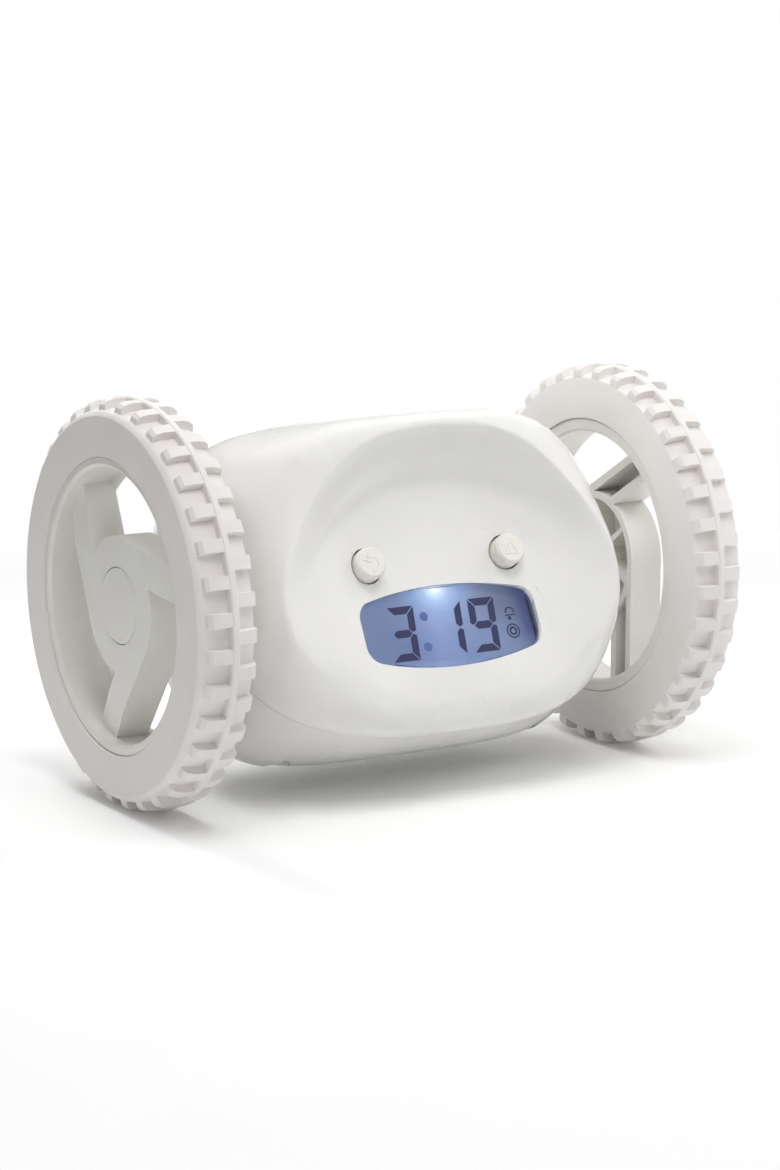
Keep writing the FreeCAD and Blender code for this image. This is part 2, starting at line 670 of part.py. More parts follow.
def rear_shell(walls):
    room = cavity(1.0)
    bosses = [parting_rod(x, along, -40, 0, BOSS_RADIUS).common(room) for x, along in boss_places()]
    standoffs = [back_rod(x, STANDOFF_Z, BOARD_Y[1], 35, 1.8) for x in STANDOFF_X]
    opened = walls.common(parting_slab(-80, 0)).cut(bay_opening())
    shell = opened.multiFuse(bosses + standoffs + tray() + pedestals() + cover_screw_boss())
    pilot_depth = COVER_SCREW_TOP - COVER_PAD_Z + 0.5
    pilot = Part.makeCylinder(SCREW_RADIUS, pilot_depth, V(0, COVER_SCREW_Y, COVER_PAD_Z))
    cuts = [seam(), axle_bore(), pilot]
    cuts += [parting_rod(x, along, -45, SCREW_SEAT, SCREW_HEAD_RADIUS + 0.2) for x, along in boss_places()]
    cuts += [parting_rod(x, along, -6, 1, SCREW_RADIUS + 0.15) for x, along in boss_places()]
    cuts += [back_rod(x, BARREL_Z, 30, 44, KEY_RADIUS + GAP) for x in KEY_X]
    for cut in cuts + sound_holes():
        shell = shell.cut(cut)
    return shell


def shell_screws():
    screws = []
    for x, along in boss_places():
        shank = parting_rod(x, along, SCREW_SEAT, SCREW_REACH, SCREW_RADIUS)
        head = parting_rod(x, along, SCREW_SEAT - SCREW_HEAD, SCREW_SEAT, SCREW_HEAD_RADIUS)
        screws.append(fused([shank, head]))
    return Part.makeCompound(screws)


# ---- Wheels
RIM_SEAT = 31.4
RIM_BORE = 29.2
RIM_LIP_BORE = 28.4            # of the lip on the housing's side
RIM_X = (54.7, 66.5)
TREAD_MIDDLE = 60.0
BARS_PER_ROW = 36
BAR_WIDTH = 2.8
BAR_ROOT = 40.3
OUTER_BAR_REACH = 5.8          # of the bars' ends from the middle of the tread
INNER_BAR_REACH = 5.4
TYRE_SECTION = [               # (x, radius), flat sidewalls, round shoulders and a centre rib
    (TYRE_INNER_X, RIM_SEAT), (TYRE_INNER_X, 39.8), (54.7, 40.5), (55.4, 41.0), (57.0, 41.4),
    (59.2, 41.6), (59.2, 43.2), (59.5, TYRE_RADIUS), (60.5, TYRE_RADIUS), (60.8, 43.2), (60.8, 41.6),
    (64.0, 41.4), (65.8, 41.0), (66.6, 40.5), (TYRE_OUTER_X, 39.8), (TYRE_OUTER_X, RIM_SEAT),
]
OUTER_ROW_PHASE = 5.0
INNER_ROW_PHASE = 0.0


def tread_bar(reach, degrees):
    """Cross bar from the centre rib out over the shoulder, drawn at the front and turned to its place."""
    side = math.copysign(1, reach)
    section = [(0, BAR_ROOT), (0, 43.3), (reach - 2.4 * side, 43.2), (reach - 0.9 * side, 42.8),
               (reach - 0.2 * side, 42.1), (reach, 41.2), (reach, BAR_ROOT)]
    corners = [V(TREAD_MIDDLE + x, -radius, AXLE_Z - BAR_WIDTH / 2) for x, radius in section]
    bar = Part.Face(Part.makePolygon(corners + corners[:1])).extrude(V(0, 0, BAR_WIDTH))
    return about_axle(bar, degrees)


def tyre():
    pitch = 360.0 / BARS_PER_ROW
    bars = []
    for k in range(BARS_PER_ROW):
        bars.append(tread_bar(OUTER_BAR_REACH, OUTER_ROW_PHASE + k * pitch))
        bars.append(tread_bar(-INNER_BAR_REACH, INNER_ROW_PHASE + k * pitch))
    return spin(TYRE_SECTION).multiFuse(bars)


HUB_RADIUS = 14.7
HUB_X = 64.5                   # the hub's and arms' outer face
HUB_PLATE = 2.4
HUB_BACK_X = 56.3              # the hub ring's and arms' face toward the housing
HUB_WALL = 1.6
HUB_BOSS_RADIUS = 4.2
CAP_RADIUS = 8.1
CAP_SEAT_X = 63.3
CAP_X = 64.9
ARM_ANGLES = (-7.0, 113.0, 233.0)
ARM_OFFSETS = (7.2, 14.6)      # an arm lies to one side of the hub's centre
ARM_WALL = 1.8
ARM_CREASE = 17.5
ARM_RIM_X = 63.0
RIGHT_WHEEL_TURN = 37.0
HUB_RIBS = 6
AXLE_FLAT = 1.5
HUB_SCREW_SEAT_X = 61.3


def arm(inset=0.0):
    """Pinwheel arm pointing to the front (-Y), before it is turned; inset gives its hollow."""
    reach = RIM_SEAT
    front, back = HUB_X - inset, HUB_BACK_X - (1 if inset else 0)
    points = [V(back, 0, 0), V(front, 0, 0), V(front, -ARM_CREASE, 0), V(ARM_RIM_X - inset, -reach, 0),
              V(back, -reach, 0), V(back, 0, 0)]
    low, high = ARM_OFFSETS[0] + inset, ARM_OFFSETS[1] - inset
    prism = Part.Face(Part.makePolygon(points)).extrude(V(0, 0, high - low))
    prism.translate(V(0, 0, AXLE_Z + low))
    return prism


def wheel_insert():
    rim = spin([
        (RIM_X[0] + 0.4, RIM_SEAT), (RIM_X[0], RIM_SEAT - 0.4), (RIM_X[0], RIM_LIP_BORE + 0.5),
        (RIM_X[0] + 0.5, RIM_LIP_BORE), (RIM_X[0] + 1.6, RIM_LIP_BORE), (RIM_X[0] + 2.2, RIM_BORE + 0.3),
        (RIM_X[1] - 0.6, RIM_BORE), (RIM_X[1], RIM_BORE + 0.7), (RIM_X[1], RIM_SEAT - 0.4),
        (RIM_X[1] - 0.4, RIM_SEAT),
    ])
    hub = rod(HUB_BACK_X, HUB_X, HUB_RADIUS)
    hollow = rod(HUB_BACK_X - 1, HUB_X - HUB_PLATE, HUB_RADIUS - HUB_WALL)
    spokes_zone = rod(50, 70, RIM_BORE + 1).cut(rod(40, 80, HUB_RADIUS - 0.8))
    arms = [about_axle(arm(), angle).common(spokes_zone) for angle in ARM_ANGLES]
    channels_zone = rod(40, 80, RIM_BORE).cut(rod(30, 90, HUB_RADIUS))
    channels = [about_axle(arm(ARM_WALL), angle).common(channels_zone) for angle in ARM_ANGLES]
    boss = rod(TYRE_INNER_X, HUB_X - HUB_PLATE + 0.1, HUB_BOSS_RADIUS)
    rib = block(HUB_BACK_X + 1, HUB_X - HUB_PLATE + 0.1, -HUB_RADIUS + 0.5, 0, AXLE_Z - 0.6, AXLE_Z + 0.6)
    ribs = [about_axle(rib, 360.0 / HUB_RIBS * k) for k in range(HUB_RIBS)]
    body = rim.multiFuse([hub] + arms).cut(Part.makeCompound(channels)).cut(hollow)
    body = body.multiFuse([boss] + ribs)
    bore = rod(50, AXLE_X[1], AXLE_RADIUS).common(block(50, 60, -AXLE_RADIUS, AXLE_FLAT, 0, 90))
    body = body.cut(bore.fuse(rod(AXLE_X[1] - 0.1, 70, SCREW_RADIUS + 0.1)))
    body = body.cut(rod(HUB_SCREW_SEAT_X, 70, SCREW_HEAD_RADIUS + 0.2))
    return body.cut(rod(CAP_SEAT_X, 70, CAP_RADIUS + 0.15))


def axle():
    shaft = rod(*AXLE_X, AXLE_RADIUS)
    flat = block(TYRE_INNER_X, 60, AXLE_FLAT, 5, 30, 60)
    return shaft.cut(flat).cut(rod(52.5, 60, SCREW_RADIUS - 0.25))


def axle_screw():
    shank = rod(53, HUB_SCREW_SEAT_X, SCREW_RADIUS - 0.25)
    head = rod(HUB_SCREW_SEAT_X, HUB_SCREW_SEAT_X + 1.6, SCREW_HEAD_RADIUS)
    return fused([shank, head])


def hub_cap():
    return spin([
        (CAP_SEAT_X, 0), (CAP_SEAT_X, CAP_RADIUS), (CAP_X - 0.5, CAP_RADIUS), (CAP_X, CAP_RADIUS - 0.5),
        (CAP_X, 0),
    ])


def save_wheel(name, shape):
    """Wheel pieces: the right wheel stands turned against the left one."""
    save("left_" + name, mirrored(shape))
    save("right_" + name, about_axle(shape, RIGHT_WHEEL_TURN))


def main():
    os.makedirs("parts", exist_ok=True)
    walls = housing_walls()
    collar = spin(COLLAR)
    collared = walls.multiFuse([collar, mirrored(collar)])
    save("front_shell", front_shell(collared))
    save("rear_shell", rear_shell(collared))
    save("battery_cover", battery_cover(walls))
    save("battery_cover_screw", battery_cover_screw())
    save("shell_screws", shell_screws())
    for index in range(len(CELL_ANGLES)):
        save("battery_cell_%d" % (index + 1), battery_cell(index))
    save("battery_contacts", battery_contacts())

    save("display_lens", display_lens())
    save("lcd_panel", face_block(21.5, -9.4, 8.4, PANEL_OUT, LENS_OUT[0]))
    save("backlight_panel", face_block(22.0, -10.0, 9.0, BACKLIGHT_OUT, PANEL_OUT))
    save("display_board", display_board())
    save("buzzer", face_disc(0, 6.0, BUZZER_OUT, BOARD_OUT, 9.0))
    save("left_button", face_button(-1))
    save("right_button", face_button(1))
    save("main_board", main_board())
    for number, x in enumerate(KEY_X, 1):
        save("setting_key_%d" % number, setting_key(x))

    save_both("gearbox_frame", gearbox_frame())
    save_both("gearbox_cover", gearbox_cover())
    save_both("gear_pins", gear_pins())
    save_both("motor", motor())
    save_both("motor_pinion", motor_pinion())
    save_both("fast_gear", fast_gear())
    save_both("slow_gear", slow_gear())
    save_both("axle_gear", axle_gear())

    save_wheel("tyre", tyre())
    save_wheel("wheel_insert", wheel_insert())
    save_wheel("hub_cap", hub_cap())
    save_wheel("axle", axle())
    save_wheel("axle_screw", axle_screw())


main()
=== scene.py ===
# %% [markdown]
# # A wheeled alarm clock
# The clock is a glossy moulded barrel with a dished face, hung between two big rubber-tyred wheels.
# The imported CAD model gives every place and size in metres. This lesson adds finishes, soft edges
# on the wheel pieces, the figures on the display, and a plain bright studio.

# %% Load the frame
import json
import math

import bmesh
import bpy
from mathutils import Matrix, Vector
from mathutils.kdtree import KDTree


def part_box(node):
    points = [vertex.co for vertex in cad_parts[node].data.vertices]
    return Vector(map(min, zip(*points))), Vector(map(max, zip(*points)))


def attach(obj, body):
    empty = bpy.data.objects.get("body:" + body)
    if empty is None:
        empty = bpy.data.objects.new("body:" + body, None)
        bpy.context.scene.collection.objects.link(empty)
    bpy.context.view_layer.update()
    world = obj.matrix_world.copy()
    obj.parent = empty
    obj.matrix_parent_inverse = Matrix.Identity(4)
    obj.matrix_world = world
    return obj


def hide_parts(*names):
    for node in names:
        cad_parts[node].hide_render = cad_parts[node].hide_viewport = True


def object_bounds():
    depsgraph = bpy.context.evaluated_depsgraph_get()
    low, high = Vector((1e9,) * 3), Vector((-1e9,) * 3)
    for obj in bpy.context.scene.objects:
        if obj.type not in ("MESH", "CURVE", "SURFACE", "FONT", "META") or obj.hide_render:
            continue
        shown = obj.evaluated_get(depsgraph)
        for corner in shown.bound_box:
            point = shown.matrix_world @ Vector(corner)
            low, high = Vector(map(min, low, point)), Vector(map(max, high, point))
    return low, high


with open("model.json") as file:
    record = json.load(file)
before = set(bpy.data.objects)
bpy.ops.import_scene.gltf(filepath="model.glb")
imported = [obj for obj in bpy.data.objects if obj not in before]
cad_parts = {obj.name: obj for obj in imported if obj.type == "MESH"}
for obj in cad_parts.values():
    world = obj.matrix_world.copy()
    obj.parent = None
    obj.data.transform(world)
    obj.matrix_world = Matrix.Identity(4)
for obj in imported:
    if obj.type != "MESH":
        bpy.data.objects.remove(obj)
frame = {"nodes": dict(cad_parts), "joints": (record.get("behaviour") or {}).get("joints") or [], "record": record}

cad_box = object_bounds()
nodes = frame["nodes"]
MM = 0.001
cad_size = Vector(cad_box[1]) - Vector(cad_box[0])
print("nodes", len(nodes), "size mm", [round(v / MM, 1) for v in cad_size])

# %% [markdown]
# ## The camera
# A long lens from the front left, a little above the axle. The lens is given through the sensor's
# height, because the picture is taller than it is wide.

# %% Camera
CAMERA_AT = Vector((-0.34734, -0.57191, 0.16463))
CAMERA_AZIMUTH = math.radians(31.404)
CAMERA_TILT = math.radians(10.405)
CAMERA_LENS = 63.67
SENSOR_HEIGHT = 24.0

looking = Vector((
    math.sin(CAMERA_AZIMUTH) * math.cos(CAMERA_TILT),
    math.cos(CAMERA_AZIMUTH) * math.cos(CAMERA_TILT),
    -math.sin(CAMERA_TILT),
))
camera_data = bpy.data.cameras.new("studio_camera")
camera_data.sensor_fit = "VERTICAL"
camera_data.sensor_height = SENSOR_HEIGHT
camera_data.lens = CAMERA_LENS
camera = bpy.data.objects.new("studio_camera", camera_data)
camera.location = CAMERA_AT
camera.rotation_euler = looking.to_track_quat("-Z", "Y").to_euler()
bpy.context.collection.objects.link(camera)
bpy.context.scene.camera = camera
bpy.context.scene.view_settings.view_transform = "Standard"
print("camera at", [round(v, 3) for v in CAMERA_AT])

# %% [markdown]
# ## Building materials from nodes
# Each finish is a small graph of nodes. It could be drawn in the shader editor, but a script keeps
# every value in sight. One helper adds a node, sets its values and links its inputs, so that a
# material reads as a list of what it is made of. Colours are written as the hex codes a paint chart
# gives, and turned into the linear values that the shader wants.

# %% Material helpers
def linear(hex_code):
    """An sRGB hex colour as the linear values the shader works in."""
    channels = [int(hex_code[i:i + 2], 16) / 255 for i in (1, 3, 5)]
    return [c / 12.92 if c <= 0.04045 else ((c + 0.055) / 1.055) ** 2.4 for c in channels] + [1.0]


def add(owner, kind, settings=None, links=None):
    """Add a node: settings fill its sockets or properties, links join its inputs to other outputs."""
    node = owner.node_tree.nodes.new("ShaderNode" + kind)
    for name, value in (settings or {}).items():
        if isinstance(name, int) or name in node.inputs:
            node.inputs[name].default_value = value
        else:
            setattr(node, name, value)
    for name, source in (links or {}).items():
        owner.node_tree.links.new(source, node.inputs[name])
    return node


def ramp(owner, value, stops):
    """A colour ramp through (position, hex colour) stops."""
    node = add(owner, "ValToRGB", links={"Fac": value})
    elements = node.color_ramp.elements
    while len(elements) < len(stops):
        elements.new(0.5)
    for element, (position, hex_code) in zip(elements, stops):
        element.position = position
        element.color = linear(hex_code)
    return node.outputs["Color"]


def new_material(name):
    """A material with an empty graph."""
    material = bpy.data.materials.new(name)
    material.use_nodes = True
    material.node_tree.nodes.clear()
    return material


def finish_material(material, shader):
    """Join the last shader to the material's output."""
    add(material, "OutputMaterial", links={"Surface": shader})
    return material


print("white is", linear("#ffffff"), "and middle grey", [round(c, 3) for c in linear("#808080")])

# %% [markdown]
# ## Moulded plastic
# Most of the clock is injection moulded. Molten plastic leaves broad, hardly visible flow marks,
# the steel of the mould leaves its own grain, and both make the gloss a little uneven. A flat
# colour would look like paint on a screen, so one noise texture mottles the colour and the gloss,
# and a finer one is a shallow bump. Both are laid out in the piece's own millimetres.

# %% Moulded plastic
FLOW_MARK = 14 * MM           # width of the marks where the melt flowed
FLOW_LOW, FLOW_HIGH = 0.35, 0.65


def moulded_plastic(name, low, high, roughness, grain_mm, grain_depth_mm, ior=1.53):
    """Injection-moulded plastic: faint flow marks, uneven sheen and a fine grain left by the mould."""
    m = new_material(name)
    place = add(m, "TexCoord").outputs["Object"]
    marks = {"Scale": 1 / FLOW_MARK, "Detail": 2.0, "Roughness": 0.5}
    flow = add(m, "TexNoise", marks, {"Vector": place})
    tint = ramp(m, flow.outputs["Fac"], ((FLOW_LOW, low), (FLOW_HIGH, high)))
    sheen = add(m, "MapRange", {
        "From Min": 0.3, "From Max": 0.7, "To Min": roughness[0], "To Max": roughness[1],
    }, {"Value": flow.outputs["Fac"]})
    grain = add(m, "TexNoise", {"Scale": 1 / (grain_mm * MM), "Detail": 3.0}, {"Vector": place})
    depth = {"Strength": 0.5, "Distance": grain_depth_mm * MM}
    bump = add(m, "Bump", depth, {"Height": grain.outputs["Fac"]})
    shader = add(m, "BsdfPrincipled", {"IOR": ior}, {
        "Base Color": tint, "Roughness": sheen.outputs["Result"], "Normal": bump.outputs["Normal"],
    })
    return finish_material(m, shader.outputs["BSDF"])


# %% [markdown]
# ## White plastics and rubber
# Four whites lie side by side on the clock, and the eye tells them apart by their gloss first.
# After the two colours and the range of roughness come the width and depth of the grain in
# millimetres. On the housing it is the slight waviness of a polished wall. The others' grain is
# finer in real life, and drawn as coarse as it needs to show.

# %% White finishes
# ABS out of a polished mould: a cool white with soft but clear reflections
glossy_abs = moulded_plastic("glossy_white_abs", "#edece9", "#f0efec", (0.15, 0.21), 2.2, 0.004)
# polypropylene out of a lightly etched mould: slightly ivory, with a broad satin shine
satin_polypropylene = moulded_plastic(
    "satin_ivory_polypropylene", "#e8e6e0", "#ecebe5", (0.34, 0.44), 0.5, 0.012)
# thermoplastic rubber: matt and a touch warm, with no reflection to be seen
matt_rubber = moulded_plastic(
    "matt_white_rubber", "#ebe7e4", "#eeeae7", (0.55, 0.68), 0.35, 0.02, ior=1.5)
# ABS out of a fine satin mould: a creamier white than the housing, so the buttons stand out a little
button_abs = moulded_plastic("satin_white_button_abs", "#eae8e0", "#eeece5", (0.26, 0.34), 0.6, 0.008)
# acetal, as small gears are moulded of: milky and waxy
gear_acetal = moulded_plastic(
    "acetal_gear_plastic", "#efece2", "#f3f0e8", (0.3, 0.4), 0.8, 0.006, ior=1.48)
print("white finishes made")

# %% [markdown]
# ## Metals and inner materials
# Turned and drawn metal carries fine lines, which stretch its highlights. The lines could be an
# anisotropic shader, but a stretched noise that varies gloss and height also survives in the
# exported model. The boards, cells and motors are only seen through a gap, but each keeps a true
# finish.

# %% Inner finishes
LINE_STRETCH = (0.15, 1.0, 1.0)  # the lines run across the clock, as the axles do
LINE_DEPTH = 0.01 * MM


def bare_metal(name, hex_code, roughness, line_mm):
    """Drawn or turned metal: fine lines along one axis vary the gloss."""
    m = new_material(name)
    place = add(m, "TexCoord").outputs["Object"]
    stretched = add(m, "Mapping", {"Scale": LINE_STRETCH}, {"Vector": place}).outputs["Vector"]
    lines = add(m, "TexNoise", {"Scale": 1 / (line_mm * MM), "Detail": 2.0}, {"Vector": stretched})
    shine = {"To Min": roughness[0], "To Max": roughness[1]}
    gloss = add(m, "MapRange", shine, {"Value": lines.outputs["Fac"]})
    bump = add(m, "Bump", {"Strength": 0.3, "Distance": LINE_DEPTH}, {"Height": lines.outputs["Fac"]})
    shader = add(m, "BsdfPrincipled", {"Base Color": linear(hex_code), "Metallic": 1.0}, {
        "Roughness": gloss.outputs["Result"], "Normal": bump.outputs["Normal"],
    })
    return finish_material(m, shader.outputs["BSDF"])


# steel off the lathe: a neutral grey with fine, even lines
turned_steel = bare_metal("turned_steel", "#b9b9bb", (0.22, 0.38), 0.4)
# nickel over spring steel: a little warmer and brighter
nickel_plate = bare_metal("nickel_plate", "#c6c3ba", (0.16, 0.28), 0.6)
# drawn steel under zinc: duller and blotchier
motor_steel = bare_metal("zinc_plated_motor_can", "#a9abae", (0.3, 0.46), 0.8)
# shrunk film round the cells: dark and smooth
cell_jacket = moulded_plastic("cell_jacket_film", "#3a3d42", "#44474d", (0.28, 0.36), 1.0, 0.004)
# cured resin on the boards: green with a soft shine
board_resin = moulded_plastic("solder_resist", "#175a34", "#1c663c", (0.3, 0.42), 0.4, 0.01)
# filled plastics out of plain moulds: black and grey, nearly matt
buzzer_plastic = moulded_plastic("buzzer_black_plastic", "#151515", "#1b1b1b", (0.4, 0.5), 0.5, 0.01)
gearbox_plastic = moulded_plastic("gearbox_grey_plastic", "#d9d8d2", "#dedcd6", (0.42, 0.52), 0.6, 0.01)
print("inner finishes made")

# %% [markdown]
# ## The leaning face
# The display and the buttons sit on one plane that leans back. Its direction could be typed in, but
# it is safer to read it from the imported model: a face button is pressed straight into the face, so
# its joint's axis points inwards.

# %% Face frame
press = next(j for j in frame["joints"] if j["name"] == "left_button_press")
FACE_OUT = -Vector(press["axis"]).normalized()
FACE_UP = FACE_OUT.cross(Vector((1, 0, 0)))
PANEL_MIDDLE_UP = -0.5 * MM
PANEL_MIDDLE_OUT = -4.1 * MM
panel_low, panel_high = (Vector(corner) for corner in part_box("lcd_panel"))
FACE_ORIGIN = (panel_low + panel_high) / 2 - FACE_UP * PANEL_MIDDLE_UP - FACE_OUT * PANEL_MIDDLE_OUT


def face_point(x, up, out):
    """A point given in millimetres across, up and out of the face."""
    return FACE_ORIGIN + Vector((x * MM, 0, 0)) + FACE_UP * (up * MM) + FACE_OUT * (out * MM)


print("the face leans", round(math.degrees(math.asin(FACE_OUT.z)), 1), "degrees")

# %% [markdown]
# ## The lit liquid crystal
# The cell glows slate blue from one small lamp behind the middle of its top edge. A picture of the
# glow could be wrapped on it, but nodes can work it out from the place on the face. That takes two
# small steps again and again: easing a value from one range to another, and multiplying two values.

# %% Node arithmetic
def between(material, value, low, high, to_low=0.0, to_high=1.0):
    """Ease a value from one range to another."""
    return add(material, "MapRange", {
        "interpolation_type": "SMOOTHSTEP",
        "From Min": low, "From Max": high, "To Min": to_low, "To Max": to_high,
    }, {"Value": value}).outputs["Result"]


def times(material, first, second):
    """The product of two values."""
    return add(material, "Math", {"operation": "MULTIPLY"}, {0: first, 1: second}).outputs[0]


print("node arithmetic ready")

# %% [markdown]
# ## The crystal's glow
# The cell is brightest at the lamp. Its upper right is darkened by painted shade, and where it runs
# under the far edge of the window a painted shade turns it navy. So its light is a ramp across the
# face, times a painted shade, plus a second ramp on the distance to the lamp. The cell gives light
# itself, so it is an emission colour on a dark, slightly glossy glass.

# %% Lit crystal
CRYSTAL_HALF = 22 * MM        # the ramp across the face runs this far to both sides
# painted shade in the cell's upper right: its spans across and up, and the part of the light left there
SHADE_ACROSS = (2 * MM, 16 * MM)
SHADE_UP = (-7 * MM, 6 * MM)
SHADE_LEFT = 0.6              # the part of the light that is left in the upper right
# painted shade under the window's far edge: its spans across and up, and its navy colour
EDGE_SHADE_ACROSS = (16 * MM, 21 * MM)
EDGE_SHADE_UP = (-9 * MM, -2 * MM)
EDGE_SHADE_NAVY = "#20326e"
LAMP_AT = (-0.3, 8.6, -3.2)   # millimetres across, up and out
LAMP_REACH = 16 * MM
ACROSS_STOPS = (
    (0.04, "#5d7197"), (0.27, "#566c9c"), (0.45, "#7188bb"), (0.63, "#687fac"), (0.78, "#6a7da8"),
    (0.89, "#5f719b"), (0.98, "#56688f"),
)
GLOW_STOPS = (
    (0.03, "#f6f6ee"), (0.1, "#c3cfc9"), (0.2, "#82969f"), (0.375, "#515f74"), (0.625, "#34373b"),
    (1.0, "#000000"),
)


def lit_crystal():
    """Backlit liquid crystal: slate blue, brightest at its lamp, painted shade upper right, navy at the far edge.
    """
    m = new_material("backlit_liquid_crystal")
    place = add(m, "TexCoord").outputs["Object"]
    across = add(m, "SeparateXYZ", links={"Vector": place}).outputs["X"]
    up = add(m, "VectorMath", {"operation": "DOT_PRODUCT", 1: FACE_UP}, {0: place}).outputs["Value"]
    zero_up = FACE_UP.dot(FACE_ORIGIN)

    span = add(m, "MapRange", {"From Min": -CRYSTAL_HALF, "From Max": CRYSTAL_HALF}, {"Value": across})
    slate = ramp(m, span.outputs["Result"], ACROSS_STOPS)
    # painted shade: the upper right of the cell is darkened
    upper = between(m, up, zero_up + SHADE_UP[0], zero_up + SHADE_UP[1])
    corner = times(m, between(m, across, *SHADE_ACROSS), upper)
    shade = between(m, corner, 0.0, 1.0, 1.0, SHADE_LEFT)
    shaded = add(m, "VectorMath", {"operation": "SCALE"}, {0: slate, "Scale": shade}).outputs["Vector"]

    # painted shade: the cell turns navy where it runs under the window's far edge
    not_low = between(m, up, zero_up + EDGE_SHADE_UP[0], zero_up + EDGE_SHADE_UP[1])
    painted_edge_shade = times(m, between(m, across, *EDGE_SHADE_ACROSS), not_low)
    navy = {"data_type": "RGBA", 7: linear(EDGE_SHADE_NAVY)}
    edge_shaded = add(m, "Mix", navy, {0: painted_edge_shade, 6: shaded}).outputs[2]

    lamp_at = face_point(*LAMP_AT)
    away = add(m, "VectorMath", {"operation": "DISTANCE", 1: lamp_at}, {0: place}).outputs["Value"]
    reach = add(m, "MapRange", {"From Min": 0.0, "From Max": LAMP_REACH}, {"Value": away})
    glow = ramp(m, reach.outputs["Result"], GLOW_STOPS)
    light = add(m, "VectorMath", {"operation": "ADD"}, {0: edge_shaded, 1: glow}).outputs["Vector"]
    shader = add(m, "BsdfPrincipled", {
        "Base Color": linear("#20242e"), "Roughness": 0.3, "Emission Strength": 1.0, "IOR": 1.5,
    }, {"Emission Color": light})
    return finish_material(m, shader.outputs["BSDF"])


crystal = lit_crystal()
print("crystal lit from", LAMP_AT)

# %% [markdown]
# ## Window, inks and diffuser
# The window is cast acrylic: clear, with a hard shine and hardly a ripple. A segment that is
# switched on blocks the backlight, so the figures glow only faintly in navy, the colon is half lit,
# and the small signs lie in between. The diffuser behind the cell is a milky sheet.

# %% Window, inks and diffuser
PANE_RIPPLE = 8 * MM
PANE_RIPPLE_DEPTH = 0.01 * MM
INK_GRAIN = 0.8 * MM          # coarser than the cell's real grain, so that it shows


def clear_acrylic():
    """Cast acrylic: clear, glossy, with a barely visible ripple."""
    m = new_material("clear_acrylic_window")
    place = add(m, "TexCoord").outputs["Object"]
    ripple = add(m, "TexNoise", {"Scale": 1 / PANE_RIPPLE, "Detail": 1.0}, {"Vector": place})
    depth = {"Strength": 0.2, "Distance": PANE_RIPPLE_DEPTH}
    bump = add(m, "Bump", depth, {"Height": ripple.outputs["Fac"]})
    shader = add(m, "BsdfPrincipled", {
        "Base Color": linear("#f4f7fb"), "Roughness": 0.03, "IOR": 1.49, "Transmission Weight": 1.0,
    }, {"Normal": bump.outputs["Normal"]})
    return finish_material(m, shader.outputs["BSDF"])


def segment_ink(name, low, high):
    """A darkened segment: a little of the backlight still comes through it."""
    m = new_material(name)
    place = add(m, "TexCoord").outputs["Object"]
    mottle = add(m, "TexNoise", {"Scale": 1 / INK_GRAIN}, {"Vector": place})
    tone = ramp(m, mottle.outputs["Fac"], ((0.3, low), (0.7, high)))
    shader = add(m, "BsdfPrincipled", {
        "Base Color": linear("#101218"), "Roughness": 0.4, "Specular IOR Level": 0.1,
        "Emission Strength": 1.0,
    }, {"Emission Color": tone})
    return finish_material(m, shader.outputs["BSDF"])


acrylic = clear_acrylic()
dark_ink = segment_ink("dark_segment", "#12164a", "#161a50")
colon_ink = segment_ink("colon_segment", "#48629e", "#4e68a6")
icon_ink = segment_ink("icon_segment", "#161a48", "#1a204e")
diffuser = moulded_plastic("diffuser_sheet", "#dfe8f4", "#e6eef8", (0.4, 0.5), 1.0, 0.004)
print("window, inks and diffuser made")

# %% [markdown]
# ## Giving the carried-over pieces their finishes
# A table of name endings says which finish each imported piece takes. The longest matching ending
# wins.

# %% Assign finishes
FINISHES = {
    "shell": glossy_abs, "battery_cover": glossy_abs,
    "button": button_abs, "setting_key": button_abs,
    "tyre": matt_rubber, "wheel_insert": satin_polypropylene, "hub_cap": satin_polypropylene,
    "gear": gear_acetal, "pinion": gear_acetal,
    "frame": gearbox_plastic, "gearbox_cover": gearbox_plastic,
    "axle": turned_steel, "screw": turned_steel, "screws": turned_steel, "pins": turned_steel,
    "motor": motor_steel, "contacts": nickel_plate, "battery_cell": cell_jacket,
    "board": board_resin, "buzzer": buzzer_plastic,
    "display_lens": acrylic, "lcd_panel": crystal, "backlight_panel": diffuser,
}


def finish_for(name):
    """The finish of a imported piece; a number at the end of its name doesn't count."""
    stem = name.rstrip("0123456789").rstrip("_")
    matches = [ending for ending in FINISHES if stem.endswith(ending)]
    return FINISHES[max(matches, key=len)]


for name, node in nodes.items():
    node.data.materials.clear()
    node.data.materials.append(finish_for(name))
print("finished", len(nodes), "carried-over pieces")

# %% [markdown]
# ## Working on a copy
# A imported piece's mesh is never changed, so a piece that needs softer edges or a smoother wall is
# shown by a copy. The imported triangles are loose, each with corners of its own, so a copy is merged
# first. It then rides on the same body as the piece it replaces, and takes the same slot.

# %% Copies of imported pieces
BODIES = frame["record"]["behaviour"]["bodies"]
BODY_OF = {node: body for body, members in BODIES.items() for node in members}
MERGE_DISTANCE = 0.004 * MM


def merged_shape(name):
    """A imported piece's loose triangles, joined at their corners."""
    shape = bmesh.new()
    shape.from_mesh(nodes[name].data)
    bmesh.ops.remove_doubles(shape, verts=shape.verts, dist=MERGE_DISTANCE)
    return shape


def show_copy(name, ending, shape):
    """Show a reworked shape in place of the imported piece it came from."""
    mesh = bpy.data.meshes.new(name + ending)
    shape.to_mesh(mesh)
    shape.free()
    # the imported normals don't fit the reworked shape
    if "custom_normal" in mesh.attributes:
        mesh.attributes.remove(mesh.attributes["custom_normal"])
    for polygon in mesh.polygons:
        polygon.use_smooth = True
    mesh.materials.append(finish_for(name))
    piece = bpy.data.objects.new(name + ending, mesh)
    bpy.context.collection.objects.link(piece)
    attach(piece, BODY_OF[name])
    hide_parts(name)
    return piece


